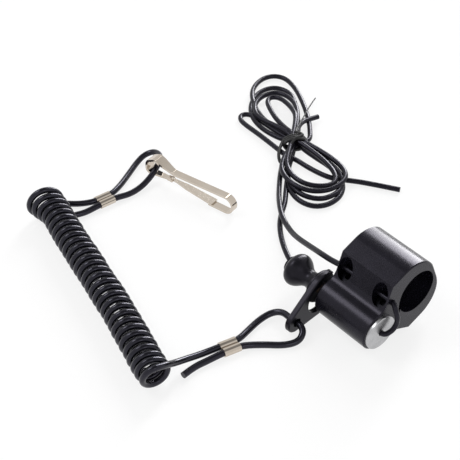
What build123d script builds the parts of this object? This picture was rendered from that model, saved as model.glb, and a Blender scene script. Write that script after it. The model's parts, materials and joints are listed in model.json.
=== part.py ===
from build123d import *
import math
import os

os.makedirs("parts", exist_ok=True)

# Engine kill switch with a coiled lanyard, millimetres, +Z up.
# The switch lies on the surface: x runs along the barrel towards its end cap, y towards the
# handlebar clamp. "s" is the distance from the clamp's near face, negative towards the knob.

# housing: barrel, waist and handlebar clamp in one piece
roll = 22.9            # how far the clamp leans up from the surface, degrees
body_len = 31.5
barrel_r = 9.8
bore_y = 25.4          # barrel axis to handlebar axis
bore_r = 11.1          # 22.2 mm handlebar
half_h = 19.3
outer_wall = 1.9       # clamp wall beyond the bore
reach = bore_y + bore_r + outer_wall
corner_r = 15.0
crease_y = 14.8
waist_y = 5.2
waist_z = 8.3
waist_r = 6.0          # hollow between barrel and clamp
edge_c = 0.5
slit_w = 1.2
slit_top = (14.4, 1.5)
slit_foot = (8.2, -12.0)
cavity_r = 7.2
end_wall = 3.5
cavity_end = body_len - end_wall

# clamp screws
screw_y = 10.0
well_r = 4.2
screw_edge = (4.8, 4.9)  # from the near and from the far face
screw_s = (-screw_edge[0], screw_edge[1] - body_len)
well_floor = 3.0
head_r = 3.5
head_h = 4.0
shank_r = 2.0
clear_r = 2.25
tap_top = -9.5
screw_foot = -13.0

# wire and its channel
wire_r = 1.25
channel_r = 1.45
channel = (11.9, 9.6)
loop_s = 4.6           # how far the wire's loop stands out past the clamp's near face

# end cap and contacts
cap_r = 8.74
cap_t = 1.6
spigot_t = 3.0
cap_hole_r = 1.5
base_t = 3.0
terminal_r = 2.4
terminal_t = 2.2
contact_gap = 3.0

# plunger, bush and knob
stem_r = 3.0
stem_hold = 8.0        # stem inside the knob
flange_r = 6.6
flange_t = 2.0
bush_r = 4.5
bush_flange_r = 7.4
bush_flange_t = 0.5
run_gap = 0.08
tag_t = 0.8
tag_r = 8.4
tag_w = 3.6
tag_reach = 14.2
tag_turn = -34.0
crimp_t = 0.45
crimp_len = 4.8
collar_r = 8.7
collar_t = 1.6
knob_r = 8.2
knob_len = 19.4

# tether clip
clip_gap = 0.8
collar_gap = 0.8
clip_t = 3.0
clip_lean = 4.0        # turned in plan, tail towards the near face, degrees
clip_hang = 1.0        # how far the clip has slipped towards its tail
clip_r = 11.3
slot_r = 7.2
slot_y = -5.3
mouth_y = 7.0
tail_y = -21.0
tail_r = 5.2
eye_r = 2.3
tail_lift = 0.12

# lanyard
cord_r = 1.6
coil_r = 8.1
sleeve_r = 2.15
sleeve_len = 8.4
pair_gap = 4.1

# snap hook, stood on its edge
strip_t = 1.2
arm_w = 3.8
eye_w = 6.0
neck_w = 2.4           # at the gate's pin
nose_u = 43.0
bow_u = 58.3           # far end of the bow
pin_u = 18.0
pin_w = 3.9
pin_r = 0.6

boss_end = body_len + tag_t + bush_flange_t
clip_s = boss_end + clip_gap
collar_s = clip_s + clip_t + collar_gap
knob_end = collar_s + collar_t + knob_len
stem_end = collar_s + collar_t + stem_hold

rad = math.radians(roll)
B = Vector(0, math.cos(rad), math.sin(rad))
C = Vector(0, -math.sin(rad), math.cos(rad))
lift = half_h * math.cos(rad) - crease_y * math.sin(rad)
x0 = (knob_end - loop_s - wire_r) / 2
y0 = (barrel_r - (reach - corner_r) * math.cos(rad) - (half_h - corner_r) * math.sin(rad) - corner_r) / 2
axis_point = Vector(x0, y0, lift)


def section(s, turn=roll):
    """Plane across the barrel at s, its x axis leaning up by turn degrees."""
    a = math.radians(turn)
    return Plane(origin=(x0 + s, y0, lift), x_dir=(0, math.cos(a), math.sin(a)), z_dir=(1, 0, 0))


def spot(s, y, z):
    """A point given by s and the housing's own two axes."""
    return axis_point + Vector(s, 0, 0) + B * y + C * z


def place(s, n, z):
    """A point given by s, the level distance n from the barrel axis, and the height."""
    return Vector(x0 + s, y0 + n, z)


def bends(route):
    """Corner radii of a cord's route: 0.45 of the shorter run over the tangent of half the turn."""
    out = []
    for p, q, r in zip(route, route[1:], route[2:]):
        half = math.radians((q - p).get_angle(r - q)) / 2
        out.append(0.45 * min((q - p).length, (r - q).length) / math.tan(half))
    return out


def report(name, part, route_len, radius, radii):
    ratio = part.volume / (route_len * math.pi * radius ** 2)
    print(f"{name}: length {route_len:.1f}, volume ratio {ratio:.4f}, radii", [round(r, 1) for r in radii])


def save(part, label):
    part.label = label
    export_step(part, f"parts/{label}.step")


# housing
with BuildPart() as housing:
    with BuildSketch(section(0)) as profile:
        with BuildLine():
            Polyline((waist_y, waist_z), (crease_y, half_h), (reach, half_h), (reach, -half_h),
                     (crease_y, -half_h), (waist_y, -waist_z), close=True)
        make_face()
        fillet(profile.vertices().sort_by(Axis.X)[-2:], corner_r)
        Circle(barrel_r)
        fillet(profile.vertices().filter_by(lambda v: abs(v.X - waist_y) < 0.3), waist_r)
    extrude(amount=-body_len)
    chamfer(housing.faces().sort_by(Axis.X)[-1].edges(), edge_c)
    chamfer(housing.faces().sort_by(Axis.X)[0].edges(), edge_c)
    # handlebar bore and the slit that lets the clamp close
    with BuildSketch(section(0)):
        with Locations((bore_y, 0)):
            Circle(bore_r)
        with BuildLine():
            dy, dz = slit_foot[0] - slit_top[0], slit_foot[1] - slit_top[1]
            n = math.hypot(dy, dz)
            cy, cz = -dz / n * slit_w / 2, dy / n * slit_w / 2
            over = 4 / n
            a = (slit_top[0] - dy * over, slit_top[1] - dz * over)
            b = (slit_foot[0] + dy * over, slit_foot[1] + dz * over)
            Polyline((a[0] + cy, a[1] + cz), (b[0] + cy, b[1] + cz), (b[0] - cy, b[1] - cz),
                     (a[0] - cy, a[1] - cz), close=True)
        make_face()
    extrude(amount=-body_len, mode=Mode.SUBTRACT)
    # barrel cavity with its end wall, and the wire channel through the waist
    with BuildSketch(section(0)):
        Circle(cavity_r)
    extrude(amount=-cavity_end, mode=Mode.SUBTRACT)
    with BuildSketch(section(-cavity_end)):
        Circle(bush_r)
    extrude(amount=-(body_len - cavity_end), mode=Mode.SUBTRACT)
    with BuildSketch(section(0)):
        with Locations(channel):
            Circle(channel_r)
    extrude(amount=-body_len, mode=Mode.SUBTRACT)
    # wells, clearance holes and threaded holes of the two clamp screws
    for s in screw_s:
        with BuildSketch(Plane(origin=spot(s, screw_y, half_h + 2), x_dir=(1, 0, 0), z_dir=C)):
            Circle(well_r)
        extrude(amount=-(half_h + 2 - well_floor), mode=Mode.SUBTRACT)
        with BuildSketch(Plane(origin=spot(s, screw_y, well_floor), x_dir=(1, 0, 0), z_dir=C)):
            Circle(clear_r)
        extrude(amount=-(well_floor - tap_top), mode=Mode.SUBTRACT)
        with BuildSketch(Plane(origin=spot(s, screw_y, tap_top), x_dir=(1, 0, 0), z_dir=C)):
            Circle(shank_r)
        extrude(amount=-(half_h + tap_top), mode=Mode.SUBTRACT)
save(housing.part, "housing")

# clamp screws
for label, s in zip(("clamp_screw_near", "clamp_screw_far"), screw_s):
    with BuildPart() as screw:
        with BuildSketch(Plane(origin=spot(s, screw_y, well_floor), x_dir=(1, 0, 0), z_dir=C)):
            Circle(head_r)
        extrude(amount=head_h)
        chamfer(screw.edges().filter_by(GeomType.CIRCLE).sort_by(Axis((0, 0, 0), C))[-1], 0.35)
        with BuildSketch(Plane(origin=spot(s, screw_y, well_floor), x_dir=(1, 0, 0), z_dir=C)):
            Circle(shank_r)
        extrude(amount=-(well_floor - screw_foot))
        with BuildSketch(Plane(origin=spot(s, screw_y, well_floor + head_h), x_dir=(1, 0, 0), z_dir=C)):
            RegularPolygon(1.5, 6, major_radius=False)
        extrude(amount=-2.2, mode=Mode.SUBTRACT)
    save(screw.part, label)

# end cap
with BuildPart() as end_cap:
    with BuildSketch(section(0)):
        Circle(cap_r)
    extrude(amount=cap_t)
    fillet(end_cap.edges().filter_by(GeomType.CIRCLE).sort_by(Axis.X)[-1], 0.4)
    with BuildSketch(section(0)):
        Circle(cavity_r)
    extrude(amount=-spigot_t)
    with BuildSketch(section(cap_t)):
        Circle(cap_hole_r)
    extrude(amount=-(cap_t + spigot_t), mode=Mode.SUBTRACT)
save(end_cap.part, "end_cap")

# contacts inside the barrel
with BuildPart() as contact_base:
    with BuildSketch(section(-spigot_t)):
        Circle(cavity_r)
        Circle(cap_hole_r, mode=Mode.SUBTRACT)
    extrude(amount=-base_t)
save(contact_base.part, "contact_base")

terminal_s = -spigot_t - base_t
with BuildPart() as fixed_contact:
    with BuildSketch(section(terminal_s)):
        Circle(terminal_r)
    extrude(amount=-terminal_t)
    fillet(fixed_contact.edges().sort_by(Axis.X)[0], 0.5)
    with BuildSketch(section(terminal_s)):
        Circle(cap_hole_r)
    extrude(amount=1.4)
save(fixed_contact.part, "fixed_contact")

washer_s = terminal_s - terminal_t - contact_gap
with BuildPart() as moving_contact:
    with BuildSketch(section(washer_s)):
        Circle(5.0)
        Circle(2.0, mode=Mode.SUBTRACT)
    extrude(amount=-0.8)
save(moving_contact.part, "moving_contact")

flange_s = washer_s - 0.8
with BuildPart() as plunger:
    with BuildSketch(section(washer_s)):
        Circle(2.0)
    extrude(amount=-0.8)
    with BuildSketch(section(flange_s)):
        Circle(flange_r)
    extrude(amount=-flange_t)
    with BuildSketch(section(flange_s - flange_t)):
        Circle(stem_r)
    extrude(amount=-(stem_end + flange_s - flange_t))
    chamfer(plunger.edges().sort_by(Axis.X)[0], 0.4)
save(plunger.part, "plunger")

# return spring between the plunger's flange and the barrel's end wall
spring_r, spring_wire = 4.6, 0.55
spring_from = flange_s - flange_t - spring_wire
spring_to = -cavity_end + spring_wire
with BuildPart() as return_spring:
    with BuildLine() as coil_path:
        Helix(pitch=(spring_from - spring_to) / 5, height=spring_from - spring_to, radius=spring_r,
              center=(x0 + spring_from, y0, lift), direction=(-1, 0, 0))
    with BuildSketch(Plane(origin=coil_path.line @ 0, z_dir=coil_path.line % 0)):
        Circle(spring_wire)
    sweep(is_frenet=True)
save(return_spring.part, "return_spring")

# bush, earth tag, collar and knob
with BuildPart() as earth_tag:
    with BuildSketch(section(-body_len, tag_turn)):
        Circle(tag_r)
        with Locations((tag_reach / 2, 0)):
            Rectangle(tag_reach, tag_w)
        with Locations((tag_reach, 0)):
            Circle(tag_w / 2)
        Circle(bush_r, mode=Mode.SUBTRACT)
    extrude(amount=-tag_t)
    with BuildSketch(section(-body_len - tag_t, tag_turn)):
        with Locations((tag_reach, 0)):
            Circle(wire_r + crimp_t)
            Circle(wire_r, mode=Mode.SUBTRACT)
    extrude(amount=-crimp_len)
save(earth_tag.part, "earth_tag")

with BuildPart() as guide_bush:
    with BuildSketch(section(-cavity_end)):
        Circle(bush_r)
    extrude(amount=-(body_len + tag_t - cavity_end))
    with BuildSketch(section(-body_len - tag_t)):
        Circle(bush_flange_r)
    extrude(amount=-bush_flange_t)
    with BuildSketch(section(-cavity_end)):
        Circle(stem_r + run_gap)
    extrude(amount=-(boss_end - cavity_end), mode=Mode.SUBTRACT)
save(guide_bush.part, "guide_bush")

with BuildPart() as knob_collar:
    with BuildSketch(section(-collar_s)):
        Circle(collar_r)
    extrude(amount=-collar_t)
    fillet(knob_collar.edges().filter_by(GeomType.CIRCLE), 0.5)
    with BuildSketch(section(-collar_s)):
        Circle(stem_r)
    extrude(amount=-collar_t, mode=Mode.SUBTRACT)
save(knob_collar.part, "knob_collar")

with BuildPart() as knob:
    with BuildSketch(Plane(origin=(x0, y0, lift), x_dir=(-1, 0, 0), z_dir=(0, -1, 0))):
        foot = collar_s + collar_t
        with BuildLine():
            Polyline((knob_end, 0), (foot, 0), (foot, 6.4))
            Spline((foot, 6.4), (foot + 2.2, 5.0), (foot + 5.2, 4.35), (foot + 8.0, 5.3), (foot + 10.4, 7.0),
                   (foot + 13.4, knob_r), (foot + 16.6, 6.9), (foot + 18.7, 4.0), (knob_end, 0),
                   tangents=((0.35, -1), (0, -1)))
        make_face()
    revolve(axis=Axis((x0, y0, lift), (1, 0, 0)))
    with BuildSketch(section(-foot)):
        Circle(stem_r)
    extrude(amount=-(stem_end - foot), mode=Mode.SUBTRACT)
save(knob.part, "knob")

# tether clip
clip_turn = math.degrees(math.asin((lift - tail_r - tail_lift) / -tail_y))
turn_a, lean_a = math.radians(clip_turn), math.radians(clip_lean)
clip_plane = Plane(origin=(x0 - clip_s, y0, lift),
                   x_dir=(-math.sin(lean_a), math.cos(lean_a) * math.cos(turn_a), math.cos(lean_a) * math.sin(turn_a)),
                   z_dir=(math.cos(lean_a), math.sin(lean_a) * math.cos(turn_a), math.sin(lean_a) * math.sin(turn_a)))
spread = math.asin((clip_r - tail_r) / -(tail_y + clip_hang))
with BuildPart() as tether_clip:
    with BuildSketch(clip_plane):
        with Locations((-clip_hang, 0)):
            Circle(clip_r)
        with Locations((tail_y, 0)):
            Circle(tail_r)
        with BuildLine():
            sy, sz = math.sin(spread), math.cos(spread)
            Polyline((-clip_hang - clip_r * sy, clip_r * sz), (tail_y - tail_r * sy, tail_r * sz),
                     (tail_y - tail_r * sy, -tail_r * sz), (-clip_hang - clip_r * sy, -clip_r * sz), close=True)
        make_face()
    extrude(amount=-clip_t)
    across = Axis(clip_plane.origin, clip_plane.z_dir)
    chamfer(tether_clip.faces().sort_by(across)[-1].edges(), 0.5)
    chamfer(tether_clip.faces().sort_by(across)[0].edges(), 0.5)
    with BuildSketch(clip_plane):
        with Locations((slot_y, 0)):
            Circle(slot_r)
        with Locations((slot_y + clip_r, 0)):
            Rectangle(2 * clip_r, 2 * slot_r)
        with Locations((mouth_y + clip_r, 0)):
            Rectangle(2 * clip_r, 3 * clip_r)
        with Locations((tail_y + 0.3, 0)):
            Circle(eye_r)
    extrude(amount=-clip_t, mode=Mode.SUBTRACT)
save(tether_clip.part, "tether_clip")

# wire held by the housing: cap, loop, channel
near_route = [spot(*p) for p in ((terminal_s + 1.4, 0, 0), (loop_s - 1.0, 0, 0), (loop_s - 0.1, 4.6, -0.4),
                                 (loop_s, 7.6, 1.4), (loop_s, 9.0, 4.8), (loop_s - 1.6, 10.4, 8.4), (1.0, *channel),
                                 (-body_len, *channel))]
near_bends = bends(near_route)
with BuildPart() as wire_near_loop:
    with BuildLine() as path:
        FilletPolyline(*near_route, radius=near_bends)
    with BuildSketch(Plane(origin=path.line @ 0, z_dir=path.line % 0)):
        Circle(wire_r)
    sweep()
report("wire_near_loop", wire_near_loop.part, path.wire().length, wire_r, near_bends)
save(wire_near_loop.part, "wire_near_loop")

# loose wires and their hank
ch_n = channel[0] * math.cos(rad) - channel[1] * math.sin(rad)
ch_z = lift + channel[0] * math.sin(rad) + channel[1] * math.cos(rad)
tag_a = math.radians(tag_turn)
tag_n, tag_z = tag_reach * math.cos(tag_a), lift + tag_reach * math.sin(tag_a)
wire_routes = {
    "wire_channel_lead": [(-body_len, ch_n, ch_z), (-37.0, ch_n, ch_z - 1.5), (-44.5, 8.0, 22.4), (-52.0, 10.4, 19.0),
                          (-60.0, 12.9, 15.4), (-68.5, 15.6, 11.6), (-77.0, 19.2, 7.6), (-85.0, 22.9, 5.2),
                          (-92.0, 26.2, 4.4), (-99.1, 31.0, 4.0), (-107.0, 37.6, 2.2), (-114.8, 45.2, wire_r),
                          (-121.0, 51.6, 1.7)],
    "wire_tag_lead": [(-body_len - tag_t - 2.4, tag_n, tag_z), (-39.5, tag_n, tag_z - 0.8), (-48.0, 9.6, 1.6),
                      (-57.5, 8.2, wire_r), (-67.0, 9.0, wire_r), (-76.2, 13.2, wire_r), (-84.6, 18.4, wire_r),
                      (-91.9, 24.4, wire_r), (-97.2, 30.6, wire_r), (-101.4, 36.9, wire_r), (-107.8, 43.4, wire_r),
                      (-114.2, 50.2, 1.7)],
    "wire_end_long": [(-94.0, 73.6, 2.6), (-87.6, 79.0, 1.5), (-81.4, 83.4, wire_r), (-75.7, 86.8, wire_r),
                      (-70.2, 89.8, wire_r)],
    "wire_end_short": [(-143.0, 84.0, 4.2), (-143.9, 90.0, 3.6), (-143.6, 95.8, 3.0), (-142.6, 101.4, 2.6)],
}
for label, points in wire_routes.items():
    route = [place(*p) for p in points]
    route_bends = bends(route)
    with BuildPart() as wire:
        with BuildLine() as path:
            FilletPolyline(*route, radius=route_bends)
        with BuildSketch(Plane(origin=path.line @ 0, z_dir=path.line % 0)):
            Circle(wire_r)
        sweep()
    report(label, wire.part, path.wire().length, wire_r, route_bends)
    save(wire.part, label)

hank_outline = [(-195, 108), (-192, 113.5), (-184, 116), (-173, 113), (-162.5, 108), (-152, 99), (-143.5, 87),
                (-136, 79.5), (-130.2, 77.8), (-119, 80.5), (-108, 81.5), (-96, 77.5), (-87.5, 66.5), (-84, 54),
                (-90, 43.5), (-104, 43), (-119, 50.5), (-129, 60.5), (-136.6, 68.4), (-146, 66.5), (-158, 64.5),
                (-168, 64.5), (-174.5, 68.5), (-180, 79), (-191, 92), (-195.5, 101)]
hank_t = 6.0
with BuildPart() as wire_hank:
    with BuildSketch(Plane(origin=(x0, y0, 0))):
        with BuildLine():
            Polyline(*hank_outline, close=True)
        make_face()
    extrude(amount=hank_t)
    chamfer(wire_hank.faces().sort_by(Axis.Z)[-1].edges(), 1.5)
save(wire_hank.part, "wire_hank")

# twist tie: a strap over the hank's neck, its knot, and one thin tail
tie_at = place(-133.2, 73.2, 0)
tie_dir = Vector(math.cos(math.radians(-32)), math.sin(math.radians(-32)), 0)
tie_across = Vector(0, 0, 1).cross(tie_dir)
tie_half = 7.6
tail_points = [(-132.6, 74.2, 6.8), (-139.5, 83.5, 6.9), (-147.5, 94.0, 4.8), (-153.0, 103.0, 3.0),
               (-157.6, 112.4, 1.6)]
tail_route = [place(*p) for p in tail_points]
tail_bends = bends(tail_route)
with BuildPart() as twist_tie:
    with BuildSketch(Plane(origin=tie_at, x_dir=tie_across, z_dir=tie_dir)):
        with Locations((0, (hank_t + 0.9) / 2)):
            Rectangle(2 * tie_half, hank_t + 0.9)
    extrude(amount=2.2, both=True)
    fillet(twist_tie.edges().filter_by(Axis(tie_at, tie_dir)).group_by(Axis.Z)[-1], 2.0)
    with BuildSketch(Plane(origin=tie_at, x_dir=tie_across, z_dir=tie_dir)):
        with Locations((0, hank_t / 2)):
            Rectangle(2 * (tie_half - 0.8), hank_t)
    extrude(amount=2.2, both=True, mode=Mode.SUBTRACT)
    with BuildLine() as path:
        FilletPolyline(*tail_route, radius=tail_bends)
    with BuildSketch(Plane(origin=path.line @ 0, z_dir=path.line % 0)):
        Circle(0.5)
    sweep()
save(twist_tie.part, "twist_tie")

# lanyard cord
# each sleeve holds two runs of the cord side by side
sleeves = {
    "sleeve_clip_end": (Vector(x0 - 43.4, y0 - 50.9, sleeve_r), 77.5),
    "sleeve_hook_end": (Vector(x0 - 163.8, y0 - 32.3, sleeve_r), 85.5),
}
runs = {}
for label, (mid, angle) in sleeves.items():
    a = math.radians(angle)
    along = Vector(math.cos(a), math.sin(a), 0)
    side = Vector(-math.sin(a), math.cos(a), 0)
    runs[label] = (mid + side * (pair_gap / 2), mid - side * (pair_gap / 2), along)
    with BuildPart() as sleeve:
        with BuildSketch(Plane(origin=mid - along * (sleeve_len / 2), x_dir=side, z_dir=along)):
            with Locations((pair_gap / 2, 0), (-pair_gap / 2, 0)):
                Circle(sleeve_r)
            with Locations((pair_gap / 2, 0), (-pair_gap / 2, 0)):
                Circle(cord_r, mode=Mode.SUBTRACT)
        extrude(amount=sleeve_len)
    save(sleeve.part, label)

eye_n = (tail_y + 0.3) * math.cos(turn_a)
eye_z = lift + (tail_y + 0.3) * math.sin(turn_a)
c_left, c_right, c_along = runs["sleeve_clip_end"]
h_left, h_right, h_along = runs["sleeve_hook_end"]
out = sleeve_len / 2 + 1.6

coil_axis = [(-177.8, -59.4), (-150.0, -65.2), (-120.0, -71.8), (-92.0, -78.2), (-68.0, -85.0), (-46.9, -91.0)]
coil_route = [place(s, n, coil_r) for s, n in coil_axis]
coil_bends = bends(coil_route)
with BuildPart() as lanyard_coil:
    with BuildLine() as path:
        FilletPolyline(*coil_route, radius=coil_bends)
    with BuildSketch(Plane(origin=path.line @ 0, z_dir=path.line % 0)):
        Circle(coil_r)
    sweep()
report("lanyard_coil", lanyard_coil.part, path.wire().length, coil_r, coil_bends)
save(lanyard_coil.part, "lanyard_coil")

hook_turn = 12.6
hook_at = place(-170.0, -0.5, 0)
hook_a = math.radians(hook_turn)
hook_dir = Vector(math.cos(hook_a), math.sin(hook_a), 0)
hook_side = Vector(math.sin(hook_a), -math.cos(hook_a), 0)


def on_hook(u, w, side=0.0):
    return hook_at + hook_dir * u + Vector(0, 0, w) + hook_side * side


cord_routes = {
    "lanyard_loop_clip": [
        c_left, c_left + c_along * out, place(-46.1, -37.0, cord_r), place(-47.5, -29.2, 1.7),
        place(-46.4, -22.6, 2.8), place(-42.8, -19.4, 4.3), place(-37.1, eye_n - 0.3, 5.3),
        place(-29.8, eye_n + 0.3, eye_z - 0.1), place(-26.6, -20.9, 4.0), place(-25.6, -25.2, 1.9),
        place(-28.2, -31.2, cord_r), place(-34.6, -37.8, cord_r),
        c_right + c_along * out, c_right],
    "lanyard_lead_clip": [
        c_left, c_left - c_along * out, place(-48.2, -64.8, 2.7), place(-48.7, -72.4, 4.8), place(-47.8, -79.4, 8.0),
        place(-46.4, -85.6, 12.0)],
    "lanyard_tail_clip": [
        c_right, c_right - c_along * out, place(-43.9, -64.2, cord_r), place(-44.9, -70.8, cord_r),
        place(-44.2, -77.4, cord_r)],
    "lanyard_loop_hook": [
        h_left, h_left + h_along * out, place(-168.8, -18.6, cord_r), place(-173.8, -9.0, cord_r),
        place(-177.9, -0.6, 2.1), place(-179.0, 5.2, 3.2), place(-176.5, 9.2, 4.8), place(-171.6, 9.6, 6.4),
        place(-166.6, 6.3, 7.3), place(-163.0, 1.4, 7.0), place(-161.3, -3.6, 4.6), place(-160.1, -10.8, 2.0),
        place(-159.5, -19.2, cord_r), h_right + h_along * out, h_right],
    "lanyard_lead_hook": [
        h_left, h_left - h_along * out, place(-170.2, -43.8, cord_r), place(-173.6, -49.6, 2.4),
        place(-175.4, -55.6, 4.4)],
    "lanyard_tail_hook": [
        h_right, h_right - h_along * out, place(-162.6, -44.8, cord_r), place(-164.0, -49.6, cord_r),
        place(-165.6, -53.2, cord_r)],
}
for label, route in cord_routes.items():
    route_bends = bends(route)
    with BuildPart() as cord:
        with BuildLine() as path:
            FilletPolyline(*route, radius=route_bends)
        with BuildSketch(Plane(origin=path.line @ 0, z_dir=path.line % 0)):
            Circle(cord_r)
        sweep()
    report(label, cord.part, path.wire().length, cord_r, route_bends)
    save(cord.part, label)

# snap hook
hook_plane = Plane(origin=hook_at, x_dir=hook_dir, z_dir=hook_side)
low = strip_t / 2 + 0.1
ear_t = 0.4
ear_r = 1.3
curl_r = 1.05
band_u = pin_u - curl_r - 0.35    # the lower strip ends short of the gate's curl
eye_low = 2.9
with BuildPart() as hook_body:
    with BuildSketch(hook_plane):
        with BuildLine():
            FilletPolyline((nose_u, low), (bow_u, low), (bow_u, 10.4), (19.5, 9.0), (8.4, 13.6), (3.0, 10.8), (2.9, eye_low),
                           (8.4, eye_low + 0.3), (band_u, pin_w - 0.2), radius=[4.8, 4.7, 5.0, 3.0, 3.4, 2.9, 3.0])
        trace(line_width=strip_t)
    extrude(amount=eye_w / 2, both=True)
    with BuildSketch(Plane(origin=hook_at, x_dir=hook_dir, z_dir=(0, 0, 1))):
        with BuildLine():
            Polyline((0, eye_w / 2), (11.5, eye_w / 2), (18.2, arm_w / 2), (60, arm_w / 2), (60, -arm_w / 2),
                     (18.2, -arm_w / 2), (11.5, -eye_w / 2), (0, -eye_w / 2), close=True)
        make_face()
    extrude(amount=20, mode=Mode.INTERSECT)
    # the lower strip narrows to its neck
    with BuildSketch(Plane(origin=hook_at, x_dir=hook_dir, z_dir=(0, 0, 1))):
        for hand in (1, -1):
            with BuildLine():
                Polyline((2.3, hand * eye_w), (2.3, hand * eye_w / 2), (6.0, hand * eye_w / 3), (14.5, hand * neck_w / 2),
                         (pin_u + 2.6, hand * neck_w / 2), (pin_u + 2.6, hand * eye_w), close=True)
            make_face()
    extrude(amount=pin_w + strip_t, mode=Mode.SUBTRACT)
    # two ears that carry the gate's pin
    for side in (-neck_w / 2, neck_w / 2 - ear_t):
        with BuildSketch(hook_plane.offset(side)):
            with Locations((pin_u, pin_w)):
                Circle(ear_r)
            with Locations(((pin_u + band_u - strip_t) / 2, pin_w - 0.1)):
                Rectangle(pin_u - band_u + strip_t, 1.6 * ear_r)
            with Locations((pin_u, pin_w)):
                Circle(pin_r, mode=Mode.SUBTRACT)
        extrude(amount=ear_t)
save(hook_body.part, "hook_body")

gate_end = 45.6
gate_foot = neck_w / 2 - ear_t - 0.1
with BuildPart() as hook_gate:
    with BuildSketch(hook_plane):
        with Locations((pin_u, pin_w)):
            Circle(curl_r)
        with BuildLine():
            Polyline((pin_u, pin_w + curl_r), (22.0, 4.4), (gate_end, 2.2), (gate_end, 1.42), (22.0, 3.55),
                     (pin_u, pin_w - 0.6), close=True)
        make_face()
        with Locations((pin_u, pin_w)):
            Circle(pin_r + 0.05, mode=Mode.SUBTRACT)
    extrude(amount=4, both=True)
    with BuildSketch(Plane(origin=hook_at, x_dir=hook_dir, z_dir=(0, 0, 1))):
        with BuildLine():
            Polyline((12, gate_foot), (pin_u + 1.9, gate_foot), (28, 1.9), (gate_end, 2.6), (gate_end, -2.6), (28, -1.9),
                     (pin_u + 1.9, -gate_foot), (12, -gate_foot), close=True)
        make_face()
    extrude(amount=10, mode=Mode.INTERSECT)
save(hook_gate.part, "hook_gate")

with BuildPart() as gate_pin:
    with BuildSketch(hook_plane.offset(-neck_w / 2)):
        with Locations((pin_u, pin_w)):
            Circle(pin_r)
    extrude(amount=neck_w)
    for side, depth in ((-neck_w / 2, -0.25), (neck_w / 2, 0.25)):
        with BuildSketch(hook_plane.offset(side)):
            with Locations((pin_u, pin_w)):
                Circle(pin_r + 0.3)
        extrude(amount=depth)
save(gate_pin.part, "gate_pin")

print("origin shift", round(x0, 3), round(y0, 3), "axis height", round(lift, 3), "clip turn", round(clip_turn, 2))
print("clip eye at n, z", round(eye_n, 2), round(eye_z, 2))
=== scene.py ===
import json
import math

import bpy
import numpy as np
from mathutils import Matrix, Vector


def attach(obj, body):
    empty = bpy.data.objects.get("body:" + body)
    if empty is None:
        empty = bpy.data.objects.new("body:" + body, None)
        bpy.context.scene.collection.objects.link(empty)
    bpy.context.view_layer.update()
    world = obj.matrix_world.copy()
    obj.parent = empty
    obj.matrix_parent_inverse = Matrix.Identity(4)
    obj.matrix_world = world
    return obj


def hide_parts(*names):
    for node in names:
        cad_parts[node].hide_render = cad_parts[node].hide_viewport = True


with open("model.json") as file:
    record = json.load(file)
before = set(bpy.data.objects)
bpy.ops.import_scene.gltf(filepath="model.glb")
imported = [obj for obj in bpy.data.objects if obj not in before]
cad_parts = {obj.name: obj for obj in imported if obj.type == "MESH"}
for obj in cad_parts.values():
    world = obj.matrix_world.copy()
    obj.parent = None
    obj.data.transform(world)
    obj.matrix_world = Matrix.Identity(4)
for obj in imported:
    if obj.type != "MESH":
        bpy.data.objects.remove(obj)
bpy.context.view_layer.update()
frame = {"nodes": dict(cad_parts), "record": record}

# The CAD's own numbers in mm and degrees: s runs along the barrel, n level from its axis, z straight up.
X0, Y0, LIFT = 26.275, -14.214, 12.02
ROLL = math.radians(22.9)
CORD_R, WIRE_R, TIE_R, COIL_R = 1.6, 1.4, 0.9, 8.1


def at(s, n, z):
    """A place in mm as metres in the row frame."""
    return ((X0 + s) / 1000, (Y0 + n) / 1000, z / 1000)


def held(y, z):
    """Level place and height, in mm, of a point given on the housing's own two axes: turned by the roll."""
    return y * math.cos(ROLL) - z * math.sin(ROLL), LIFT + y * math.sin(ROLL) + z * math.cos(ROLL)


# Camera: the photograph's own place and view direction, found from the two rims of the bore.
CAMERA_PLACE = at(241.8, -296.64, 407.78)
CAMERA_VIEW = (-0.5659, 0.4881, -0.6644)


def place_camera():
    """A 95 mm lens on a 36 mm frame, held level: its right side is its view direction crossed with up."""
    data = bpy.data.cameras.new("camera")
    data.lens = 95.0
    data.sensor_width = 36.0
    data.clip_start = 0.01
    data.clip_end = 20.0
    camera = bpy.data.objects.new("camera", data)
    bpy.context.scene.collection.objects.link(camera)
    view = Vector(CAMERA_VIEW).normalized()
    right = view.cross(Vector((0, 0, 1))).normalized()
    pose = Matrix((right, right.cross(view), -view)).transposed().to_4x4()
    pose.translation = Vector(CAMERA_PLACE)
    camera.matrix_world = pose
    bpy.context.scene.camera = camera


place_camera()

PIECES = []


def tube(name, route, radius, body, slot, replaced, widths=None):
    """A round tube along one open NURBS spline, and the points of its middle line in metres.

    The route's points, in mm, are the spline's control points. The middle line is read from the spline with
    no bevel, and the tube is the same spline with one, made a mesh. Widths are shares of the radius, one for
    each point.
    """
    data = bpy.data.curves.new(name, "CURVE")
    data.dimensions = "3D"
    spline = data.splines.new("NURBS")
    spline.points.add(len(route) - 1)
    for point, place, width in zip(spline.points, route, widths or [1.0] * len(route)):
        point.co = (*at(*place), 1.0)
        point.radius = width
    spline.order_u = 3
    spline.use_endpoint_u = True
    spline.resolution_u = 5
    curve = bpy.data.objects.new(name + "_line", data)
    middle = [tuple(v.co) for v in bpy.data.meshes.new_from_object(curve).vertices]
    data.bevel_depth = radius / 1000
    data.bevel_resolution = 6
    data.use_fill_caps = True
    piece = bpy.data.objects.new(name, bpy.data.meshes.new_from_object(curve))
    bpy.data.curves.remove(data)
    bpy.context.scene.collection.objects.link(piece)
    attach(piece, body)
    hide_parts(*replaced)
    PIECES.append((piece, slot))
    return piece, middle


# Crimped double sleeves: middle in plan and turn in degrees.
CLIP_SLEEVE = (-43.4, -50.9, 77.5)
HOOK_SLEEVE = (-163.8, -32.3, 85.5)
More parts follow.
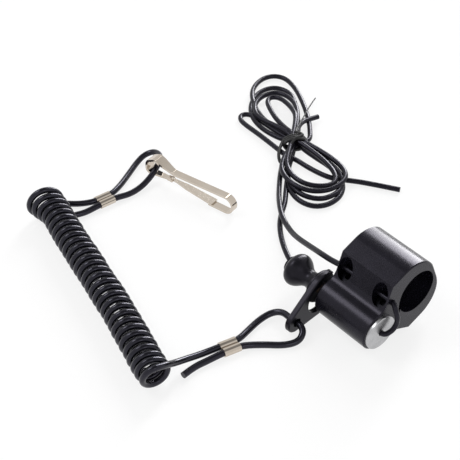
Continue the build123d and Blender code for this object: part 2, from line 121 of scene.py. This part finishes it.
# Half the distance between a sleeve's two tubes, their height, and how far out the cord is held straight.
SLEEVE_HALF, SLEEVE_Z, SLEEVE_REACH = 2.05, 2.15, 5.8


def through(sleeve, side):
    """Three control points in one of a sleeve's tubes: its middle, and SLEEVE_REACH before and after it."""
    s, n, degrees = sleeve
    turn = math.radians(degrees)
    along = np.array((math.cos(turn), math.sin(turn), 0.0))
    across = np.array((-math.sin(turn), math.cos(turn), 0.0))
    middle = np.array((s, n, SLEEVE_Z)) + side * SLEEVE_HALF * across
    return [middle - SLEEVE_REACH * along, middle, middle + SLEEVE_REACH * along]


# Coil: its turns, the points of each, where it starts, how far it runs, and its axis in plan. The points lie
# OUTER times as far out as the cord's middle, because the spline runs a little inside them.
TURNS, PER_TURN, OUTER = 29.5, 16, 1.012
COIL_START, COIL_RUN = -45.4, 133.4
AXIS_S = (-180.5, -176.0, -150.0, -120.0, -92.0, -68.0, -46.0)
AXIS_N = (-56.8, -58.0, -65.0, -71.8, -78.2, -84.7, -91.1)


def coil_points():
    """Control points of the coil: a helix about an axis that bends slightly in plan.

    Each point is its place on the axis plus the radius, turned from straight up over the near side, one turn
    for every PER_TURN points. The first two turns lie close together, and the first half turn leans out
    towards the clip. The last three lie close too, grow wider and fan out to the near side, and the last
    half turn is loose. The radius wavers by a sine of a sine, 0.12 mm, as real turns do, and a wider turn is
    lifted to stay on the table.
    """
    i = np.arange(int(TURNS * PER_TURN) + 1)
    left = i[-1] - i
    close = np.maximum(0, 1 - i / (2 * PER_TURN))
    lean = np.maximum(0, 1 - i / (0.55 * PER_TURN))
    fan = np.maximum(0, 1 - left / (3 * PER_TURN))
    loose = np.maximum(0, 1 - left / (0.5 * PER_TURN))
    s = COIL_START - COIL_RUN * i / i[-1] - 1.6 * close + 1.2 * lean ** 1.5 + 3.3 * fan - 0.8 * loose
    n = np.interp(s, AXIS_S, AXIS_N) + 1.0 * close - 3.2 * fan
    slope = (np.interp(s + 2, AXIS_S, AXIS_N) - np.interp(s - 2, AXIS_S, AXIS_N)) / 4
    uneven = 0.12 * np.sin(0.71 * i + 1.3 * np.sin(0.13 * i))
    radius = (COIL_R - CORD_R) * OUTER + 1.8 * fan + uneven
    angle = -2 * np.pi * i / PER_TURN
    out = radius * np.sin(angle) / np.hypot(1, slope)
    z = np.maximum(COIL_R, radius + CORD_R) + radius * np.cos(angle)
    return np.stack((s - slope * out, n + out, z), axis=1)


# Lanyard's cord, one piece: cut end, sleeve, clip's eye, sleeve, coil, sleeve, hook's eye, sleeve, cut end.
LANYARD_ROUTE = [
    (-44.2, -77.4, CORD_R), (-44.9, -70.8, CORD_R), (-43.9, -64.2, CORD_R),
    *through(CLIP_SLEEVE, -1),
    (-34.6, -37.8, CORD_R), (-28.2, -31.2, CORD_R), (-25.4, -25.0, 1.9), (-26.6, -20.8, 4.0),
    (-29.6, -19.4, 5.3), (-33.5, -19.6, 5.4), (-37.3, -19.8, 5.3), (-42.8, -19.2, 4.3), (-46.7, -22.4, 2.8),
    (-47.6, -29.2, 1.7), (-46.1, -37.0, CORD_R),
    *through(CLIP_SLEEVE, 1)[::-1],
    (-48.2, -64.8, 2.7), (-48.7, -72.4, 4.8), (-47.8, -79.4, 8.1), (-46.1, -84.9, 12.4),
    *coil_points(),
    (-178.6, -52.9, 1.9), (-174.6, -48.6, CORD_R), (-170.2, -43.8, CORD_R),
    *through(HOOK_SLEEVE, 1),
    (-168.6, -18.6, CORD_R), (-173.6, -9.0, CORD_R), (-177.8, -0.6, 2.1), (-179.2, 5.4, 3.2),
    (-176.8, 9.6, 4.8), (-171.6, 9.8, 6.4), (-166.4, 6.6, 7.4), (-162.7, 1.4, 7.1), (-161.1, -3.6, 4.6),
    (-160.0, -10.8, 2.0), (-159.4, -19.2, CORD_R),
    *through(HOOK_SLEEVE, -1)[::-1],
    (-162.6, -44.8, CORD_R), (-164.0, -49.6, CORD_R), (-165.6, -53.2, CORD_R)]
lanyard, lanyard_line = tube(
    "lanyard_cord", LANYARD_ROUTE, CORD_R, "lanyard", "cord",
    ("lanyard_loop_clip", "lanyard_lead_clip", "lanyard_tail_clip", "lanyard_coil", "lanyard_lead_hook",
     "lanyard_tail_hook", "lanyard_loop_hook"))

# Hank: both wires' loops in plan. The upper ones lie beyond the tie and the lower ones before it.
UPPER_1 = [(-131.8, 75.2), (-130.4, 79.6), (-131.8, 83.6), (-136.0, 87.6), (-142.2, 93.0), (-149.4, 98.2),
           (-158.6, 104.0), (-171.5, 110.7), (-183.5, 114.0), (-190.5, 110.7), (-192.8, 103.2),
           (-189.5, 93.2), (-182.7, 85.9), (-172.3, 79.7), (-161.6, 75.9), (-151.4, 75.1), (-139.8, 76.1)]
UPPER_2 = [(-140.3, 83.2), (-151.3, 92.7), (-161.5, 100.5), (-172.3, 106.3), (-182.3, 103.2), (-184.5, 93.1),
           (-179.0, 81.8), (-170.0, 74.2), (-159.4, 70.6), (-148.9, 70.3), (-139.2, 72.2)]
UPPER_3 = [(-143.7, 85.6), (-157.9, 98.0), (-170.0, 100.6), (-177.2, 96.9), (-178.3, 87.6), (-173.1, 78.7),
           (-163.6, 73.6), (-149.5, 75.8), (-139.1, 75.4)]
UPPER_4 = [(-147.1, 87.9), (-155.7, 92.5), (-165.0, 95.0), (-170.6, 94.9), (-173.6, 91.9), (-171.8, 88.0),
           (-166.6, 84.7), (-155.6, 79.7), (-144.4, 77.0), (-138.3, 76.3)]
UPPER_5 = [(-138.0, 74.6), (-150.0, 74.2), (-161.9, 74.6), (-169.2, 74.8), (-173.3, 72.9), (-173.7, 69.4),
           (-170.4, 66.8), (-164.6, 66.1), (-154.0, 65.8), (-142.9, 64.9), (-135.8, 64.1), (-129.8, 63.5)]
LOWER_1 = [(-134.2, 76.4), (-126.0, 77.4), (-112.0, 78.6), (-100.2, 77.6), (-93.0, 73.2), (-90.9, 65.1),
           (-92.2, 56.9), (-98.5, 49.7), (-109.2, 47.5), (-120.0, 50.7), (-127.0, 59.6), (-132.1, 71.4)]
LOWER_2 = [(-134.0, 73.8), (-124.0, 74.4), (-112.5, 74.2), (-101.8, 72.0), (-94.8, 67.9), (-93.9, 61.2),
           (-101.6, 53.0), (-111.9, 51.7), (-121.6, 55.9), (-129.0, 65.6)]
LOWER_3 = [(-129.3, 74.6), (-118.9, 74.6), (-105.3, 75.4), (-93.0, 71.2), (-86.8, 63.3), (-85.6, 53.8),
           (-89.8, 45.9), (-99.0, 43.4), (-109.0, 46.4), (-119.5, 55.2), (-126.5, 65.0), (-132.5, 72.5)]
LOWER_4 = [(-134.5, 74.2), (-124.0, 75.6), (-110.0, 76.4), (-98.5, 74.6), (-91.0, 68.8), (-88.4, 61.2),
           (-89.8, 52.8), (-96.4, 47.6), (-105.4, 46.6), (-117.0, 51.8), (-125.5, 62.0), (-131.5, 71.0)]


def laid(loop, z, dip):
    """A loop's points at height z less dip times the sine of the way round it, and at least WIRE_R."""
    turn = np.pi * np.arange(len(loop)) / (len(loop) - 1)
    return [(s, n, height) for (s, n), height in zip(loop, np.maximum(WIRE_R, z - dip * np.sin(turn)))]


# First wire: out of the housing's channel, down to the table, three upper and two lower loops, cut end.
CHANNEL_N, CHANNEL_Z = held(11.9, 9.6)
CHANNEL_ROUTE = [
    (-31.5, CHANNEL_N, CHANNEL_Z), (-37.0, CHANNEL_N, CHANNEL_Z - 1.5), (-44.5, 8.0, 22.4),
    (-52.0, 10.4, 19.0), (-60.0, 12.9, 15.4), (-68.5, 15.6, 11.6), (-77.0, 19.2, 7.6), (-85.0, 22.9, 5.2),
    (-92.0, 26.2, 4.4), (-99.1, 31.0, 4.0), (-107.0, 37.6, 2.2), (-114.8, 45.2, WIRE_R),
    (-121.0, 51.6, WIRE_R), (-127.6, 59.6, 1.8), (-132.4, 68.4, 2.4),
    *laid(UPPER_1, 3.6, 2.0), *laid(LOWER_1, 5.2, 0.6), *laid(UPPER_3, 5.6, 2.6), *laid(LOWER_3, 2.4, 1.0),
    *laid(UPPER_5, 2.6, 1.3),
    (-123.5, 66.0, 1.6), (-115.6, 66.4, WIRE_R), (-107.0, 67.6, WIRE_R), (-100.2, 69.6, WIRE_R),
    (-94.6, 74.0, WIRE_R), (-88.4, 78.8, WIRE_R), (-81.6, 83.1, WIRE_R), (-75.7, 86.7, WIRE_R),
    (-70.2, 90.0, WIRE_R)]

# Second wire: from the earth tag beside the barrel, along the table, two upper and two lower loops, cut end.
TAG_REACH, TAG_TURN = 14.2, math.radians(34)
TAG_N, TAG_Z = TAG_REACH * math.cos(TAG_TURN), LIFT - TAG_REACH * math.sin(TAG_TURN)
TAG_ROUTE = [
    (-34.7, TAG_N, TAG_Z), (-39.5, TAG_N, TAG_Z - 0.8), (-48.0, 9.6, 1.6), (-57.5, 8.2, WIRE_R),
    (-67.0, 9.0, WIRE_R), (-76.2, 13.2, WIRE_R), (-84.6, 18.4, WIRE_R), (-91.9, 24.4, WIRE_R),
    (-97.2, 30.6, WIRE_R), (-101.4, 36.9, WIRE_R), (-107.8, 43.4, WIRE_R), (-114.2, 50.2, WIRE_R),
    (-121.0, 57.4, WIRE_R), (-128.0, 65.6, 2.0), (-134.0, 73.0, 3.2),
    *laid(UPPER_2, 2.6, 1.3), *laid(LOWER_2, 6.0, 1.6), *laid(UPPER_4, 6.4, 2.6), *laid(LOWER_4, 3.6, 0.8),
    (-136.5, 77.5, 6.0), (-141.0, 83.0, 5.4), (-144.3, 89.5, 4.2), (-144.3, 95.5, 3.2), (-143.3, 100.8, 2.8)]
for name, route, nodes in (("wire_one", CHANNEL_ROUTE, ("wire_channel_lead", "wire_hank", "wire_end_long")),
                           ("wire_two", TAG_ROUTE, ("wire_tag_lead", "wire_end_short"))):
    wire, wire_line = tube(name, route, WIRE_R, "switch", "wire", nodes)

# Twist tie: the middle of the hank's neck, its direction in plan, and the points of all turns and of one.
NECK_S, NECK_N, NECK_Z = -133.2, 73.2, 4.2
NECK_ALONG_S, NECK_ALONG_N = 0.848, -0.53
TIE_POINTS, PER_TIE_TURN = 46, 15


def tie_turns():
    """Three turns about the neck, flat ovals that move along it.

    Across the neck a point is 6.2 mm, wavering by 0.3 mm as a sine, times the cosine of its angle. Its height
    is the neck's plus 3.8 mm times the sine of the angle, and at least 0.8 mm.
    """
    i = np.arange(TIE_POINTS)
    angle = 2 * np.pi * i / PER_TIE_TURN - 0.4
    along = -2.2 + 4.4 * i / (TIE_POINTS - 1)
    across = (6.2 + 0.3 * np.sin(2.2 * i)) * np.cos(angle)
    s = NECK_S + NECK_ALONG_S * along - NECK_ALONG_N * across
    n = NECK_N + NECK_ALONG_N * along + NECK_ALONG_S * across
    return np.stack((s, n, np.maximum(0.8, NECK_Z + 3.8 * np.sin(angle))), axis=1)


# After the turns come a wrap round the two lead wires, a knot, and one tail, which narrows over its first
# three points to four tenths of the strip's width.
TIE_ROUTE = [
    *tie_turns(),
    (-138.5, 72.4, 6.4), (-136.2, 65.9, 5.0), (-131.8, 59.8, 4.0), (-127.4, 57.4, 1.0), (-126.2, 61.4, 0.9),
    (-130.6, 66.5, 5.4), (-132.4, 72.6, 8.4), (-131.0, 78.0, 8.2), (-133.8, 77.2, 8.6), (-136.4, 76.6, 8.0),
    (-138.6, 79.6, 7.4), (-141.5, 85.0, 6.8), (-146.2, 92.4, 5.4), (-151.0, 100.0, 3.8), (-155.0, 106.6, 2.6),
    (-158.2, 113.0, 1.8)]
TAIL_START, TAIL_NARROWS, TAIL_SHARE = TIE_POINTS + 9, 3, 0.4
tail_way = np.clip((np.arange(len(TIE_ROUTE)) - TAIL_START) / TAIL_NARROWS, 0, 1)
tube("tie", TIE_ROUTE, TIE_R, "switch", "tie", ("twist_tie",), list(1 - (1 - TAIL_SHARE) * tail_way))


def linear(hex_colour):
    """A hex sRGB colour as linear RGBA."""
    out = []
    for i in (0, 2, 4):
        c = int(hex_colour[i:i + 2], 16) / 255
        out.append(c / 12.92 if c <= 0.04045 else ((c + 0.055) / 1.055) ** 2.4)
    return (*out, 1.0)


def add(tree, kind, inputs=None, **settings):
    """One node with its settings, and its inputs by name or number; an input that is a socket is linked."""
    node = tree.nodes.new(kind)
    for key, value in settings.items():
        setattr(node, key, value)
    for key, value in (inputs or {}).items():
        if isinstance(value, bpy.types.NodeSocket):
            tree.links.new(value, node.inputs[key])
        else:
            node.inputs[key].default_value = value
    return node


def per_metre(size_mm):
    """Noise scale at which one bump of the pattern is size_mm across."""
    return 1000 / size_mm


def material(name, dark, light, rough, patch_mm, grain_mm, relief_mm=0.0, rings=False, **plain):
    """A finish that is never quite even.

    Two tones are mixed by patches of patch_mm. The roughness goes from one value to the other by grains of
    grain_mm, which also stand up by relief_mm. With rings, the grain depends only on the distance from the
    barrel's axis, as turning leaves it. The plain values are set on the shader's own sockets.
    """
    mat = bpy.data.materials.new(name)
    mat.use_nodes = True
    tree = mat.node_tree
    shader = tree.nodes["Principled BSDF"]
    where = add(tree, "ShaderNodeTexCoord").outputs["Object"]
    patches = add(tree, "ShaderNodeTexNoise", {"Vector": where, "Scale": per_metre(patch_mm), "Detail": 3.0})
    if rings:
        xyz = add(tree, "ShaderNodeSeparateXYZ", {0: where}).outputs
        y = add(tree, "ShaderNodeMath", {0: xyz["Y"], 1: Y0 / 1000}, operation="SUBTRACT").outputs[0]
        z = add(tree, "ShaderNodeMath", {0: xyz["Z"], 1: LIFT / 1000}, operation="SUBTRACT").outputs[0]
        level = add(tree, "ShaderNodeCombineXYZ", {"X": y, "Y": z}).outputs[0]
        radius = add(tree, "ShaderNodeVectorMath", {0: level}, operation="LENGTH").outputs["Value"]
        grains = add(tree, "ShaderNodeTexNoise", {"W": radius, "Scale": per_metre(grain_mm), "Detail": 2.0},
                     noise_dimensions="1D")
    else:
        grains = add(tree, "ShaderNodeTexNoise", {"Vector": where, "Scale": per_metre(grain_mm),
                                                  "Detail": 2.0})
    spread = add(tree, "ShaderNodeMapRange", {"Value": patches.outputs["Fac"], "From Min": 0.35,
                                              "From Max": 0.65})
    tones = add(tree, "ShaderNodeMix", {0: spread.outputs["Result"], 6: linear(dark), 7: linear(light)},
                data_type="RGBA")
    tree.links.new(tones.outputs[2], shader.inputs["Base Color"])
    sheen = add(tree, "ShaderNodeMapRange", {"Value": grains.outputs["Fac"], "From Min": 0.3, "From Max": 0.7,
                                             "To Min": rough[0], "To Max": rough[1]})
    tree.links.new(sheen.outputs["Result"], shader.inputs["Roughness"])
    if relief_mm:
        bump = add(tree, "ShaderNodeBump", {"Height": grains.outputs["Fac"], "Distance": relief_mm / 1000,
                                            "Strength": 0.4})
        tree.links.new(bump.outputs["Normal"], shader.inputs["Normal"])
    for socket, value in plain.items():
        shader.inputs[socket.replace("_", " ")].default_value = value
    return mat


# Violet casts: of the dyed oxide film and the nylon, and of the cord's and the wires' PVC.
DYE_CAST, PVC_CAST = linear("e6e1f6"), linear("dedcf4")
FINISHES = {
    # Aluminium, milled and turned, then anodised and dyed black: the dyed oxide film hides the metal, so it
    # looks a satin black with a violet cast and soft-edged bright bands. The cutter's marks, 0.2 mm apart on
    # the real one, are drawn 1.2 mm across to show.
    "black_aluminium": material("black anodised aluminium", "0b0a10", "121118", (0.25, 0.29), 6.0, 1.2,
                                0.0004, Specular_IOR_Level=0.3, Specular_Tint=DYE_CAST),
    # Nylon, moulded black in a polished mould: dense and smooth with a soft highlight. The mould's grain is
    # finer than the 0.8 mm it is drawn at.
    "knob_plastic": material("moulded black nylon", "08080b", "0d0c11", (0.3, 0.36), 5.0, 0.8, 0.001,
                             Specular_IOR_Level=0.3, Specular_Tint=DYE_CAST),
    # Steel, blackened in hot oxide: nearly black metal that still reflects a little, with grains drawn at
    # 0.4 mm, coarser than the oxide's own.
    "screw_steel": material("black-oxide steel", "1c1c20", "26262b", (0.32, 0.45), 3.0, 0.4, 0.0005,
                            Metallic=1.0),
    # Steel strip, pressed and plated with bright nickel: a warm, pale metal with clear reflections and a
    # gloss that varies over 3 mm, as the strip's rolling leaves it.
    "nickel": material("bright nickel plate", "c8bdb0", "cfc5b9", (0.07, 0.09), 9.0, 3.0, Metallic=1.0),
    # Brass, turned from rod: yellow metal with turning marks 0.2 mm apart.
    "brass": material("turned brass", "c09a4e", "cfaa5c", (0.24, 0.34), 4.0, 0.2, 0.0005, Metallic=1.0),
    # Spring steel, drawn wire: grey metal, nearly smooth, with marks of the die drawn at 0.3 mm to show.
    "spring_steel": material("drawn spring steel", "8a8b8e", "9c9da0", (0.24, 0.32), 3.0, 0.3, 0.0005,
                             Metallic=1.0),
    # Paper board soaked in resin, punched: brown, dull, with fibres of 0.3 mm.
    "insulator": material("resin paper board", "2c1f15", "3d2c1e", (0.5, 0.6), 2.0, 0.3, 0.002),
    # Soft PVC, extruded over the cord and wound hot: deep black and wet-looking, so each turn shows a bright
    # dash, with waves of 1.2 mm from the extruder.
    "cord": material("glossy black PVC", "07070a", "0b0a0f", (0.15, 0.2), 7.0, 1.2, 0.0003,
                     Specular_IOR_Level=0.5, Specular_Tint=PVC_CAST),
    # Stiffer PVC, extruded over the strands: satin black, a broader and weaker highlight, waves of 0.9 mm.
    "wire": material("satin black PVC", "0c0b10", "121116", (0.26, 0.32), 6.0, 0.9, 0.0005,
                     Specular_IOR_Level=0.3, Specular_Tint=PVC_CAST),
    # PVC strip, moulded over a soft steel wire: black and dull, with grains of 0.4 mm.
    "tie": material("dull black PVC", "0a0a0b", "101011", (0.45, 0.55), 3.0, 0.4, 0.002),
    # Aluminium, turned and left bare: pale grey and satin, with rings about the barrel's axis 0.1 mm apart.
    "cap_aluminium": material("turned aluminium", "b2b2b4", "c0c0c2", (0.26, 0.38), 5.0, 0.1, 0.0006,
                              rings=True, Metallic=1.0),
}

finish_of = {entry["node"]: entry["material_slot"] for entry in frame["record"]["subparts"]}
# Painted shade: the bush and the tag get the housing's black and the screws' black oxide instead of their own
# finishes, as they show only a dark, shaded edge between the barrel and the clip.
finish_of.update(guide_bush="black_aluminium", earth_tag="screw_steel")
for obj, key in [(obj, finish_of[node]) for node, obj in frame["nodes"].items()] + PIECES:
    obj.data.materials.clear()
    obj.data.materials.append(FINISHES[key])

# Floor: a table of matt white paper, 6 m square and just under the part. Camera, glossy and transmission
# rays get WHITE_SHARE of it as plain white of strength 1 and the rest as lit paper, so it is white and still
# keeps a weak shadow.
FLOOR_HALF, FLOOR_Z, WHITE_SHARE = 3, -0.0002, 0.8


def make_paper():
    """The floor's material: the lit paper mixed with plain white by the kind of ray times WHITE_SHARE."""
    paper = bpy.data.materials.new("matt white paper")
    paper.use_nodes = True
    tree = paper.node_tree
    lit = tree.nodes["Principled BSDF"]
    lit.inputs["Base Color"].default_value = (0.86, 0.86, 0.86, 1)
    lit.inputs["Roughness"].default_value = 0.9
    lit.inputs["Specular IOR Level"].default_value = 0.1
    ray = add(tree, "ShaderNodeLightPath").outputs
    seen = ray["Is Camera Ray"]
    for kind in ("Is Glossy Ray", "Is Transmission Ray"):
        seen = add(tree, "ShaderNodeMath", {0: seen, 1: ray[kind]}, operation="MAXIMUM").outputs[0]
    share = add(tree, "ShaderNodeMath", {0: seen, 1: WHITE_SHARE}, operation="MULTIPLY").outputs[0]
    white = add(tree, "ShaderNodeEmission", {"Color": (1, 1, 1, 1), "Strength": 1.0}).outputs[0]
    both = add(tree, "ShaderNodeMixShader", {0: share, 1: lit.outputs[0], 2: white})
    tree.links.new(both.outputs[0], tree.nodes["Material Output"].inputs["Surface"])
    return paper


floor_mesh = bpy.data.meshes.new("floor")
floor_corners = [(x * FLOOR_HALF, y * FLOOR_HALF, FLOOR_Z) for x, y in ((-1, -1), (1, -1), (1, 1), (-1, 1))]
floor_mesh.from_pydata(floor_corners, [], [(0, 1, 2, 3)])
floor_mesh.materials.append(make_paper())
floor = bpy.data.objects.new("floor", floor_mesh)
bpy.context.scene.collection.objects.link(floor)

# World: a pale room below a dim ceiling, with one large soft window at the back on the left. Its edges are
# parts of a direction of length 1, each fading from nothing at the first number to full at the second.
ROOM, CEILING, WINDOW = 0.85, 0.3, 19.0
CEILING_STARTS, CEILING_FULL = 0.78, 0.86
WINDOW_EDGES = (("X", -0.49, -0.47), ("X", -0.28, -0.31), ("Y", 0.55, 0.57), ("Y", 0.96, 0.93),
                ("Z", 0.02, 0.06))


def make_world():
    """Strength by direction: the room's or the ceiling's, plus WINDOW times the product of its edges."""
    world = bpy.data.worlds.new("studio")
    world.use_nodes = True
    bpy.context.scene.world = world
    tree = world.node_tree
    way = add(tree, "ShaderNodeTexCoord").outputs["Generated"]
    xyz = add(tree, "ShaderNodeSeparateXYZ", {0: way}).outputs
    room = add(tree, "ShaderNodeMapRange", {"Value": xyz["Z"], "From Min": CEILING_STARTS,
                                            "From Max": CEILING_FULL, "To Min": ROOM,
                                            "To Max": CEILING}).outputs[0]
    window = 1.0
    for axis, nothing, full in WINDOW_EDGES:
        edge = add(tree, "ShaderNodeMapRange", {"Value": xyz[axis], "From Min": nothing, "From Max": full})
        window = add(tree, "ShaderNodeMath", {0: window, 1: edge.outputs[0]}, operation="MULTIPLY").outputs[0]
    glow = add(tree, "ShaderNodeMath", {0: window, 1: WINDOW, 2: room}, operation="MULTIPLY_ADD").outputs[0]
    tree.links.new(glow, tree.nodes["Background"].inputs["Strength"])
    tree.nodes["Background"].inputs["Color"].default_value = (1, 1, 1, 1)


make_world()

# Lamps: a small one high on the left and a weak one on the right. Name, place and size in metres, watts.
CENTRE = (-0.07, -0.01, 0.0)
LAMPS = (("key", (-0.75, -0.57, 1.2), 0.55, 5.5), ("side", (1.1, -0.3, 0.9), 0.4, 0.9))
for name, place, size, watts in LAMPS:
    data = bpy.data.lights.new(name, "AREA")
    data.size = size
    data.energy = watts
    lamp = bpy.data.objects.new(name, data)
    lamp.location = place
    lamp.rotation_euler = (Vector(CENTRE) - Vector(place)).to_track_quat("-Z", "Y").to_euler()
    bpy.context.scene.collection.objects.link(lamp)

bpy.context.scene.view_settings.view_transform = "Standard"
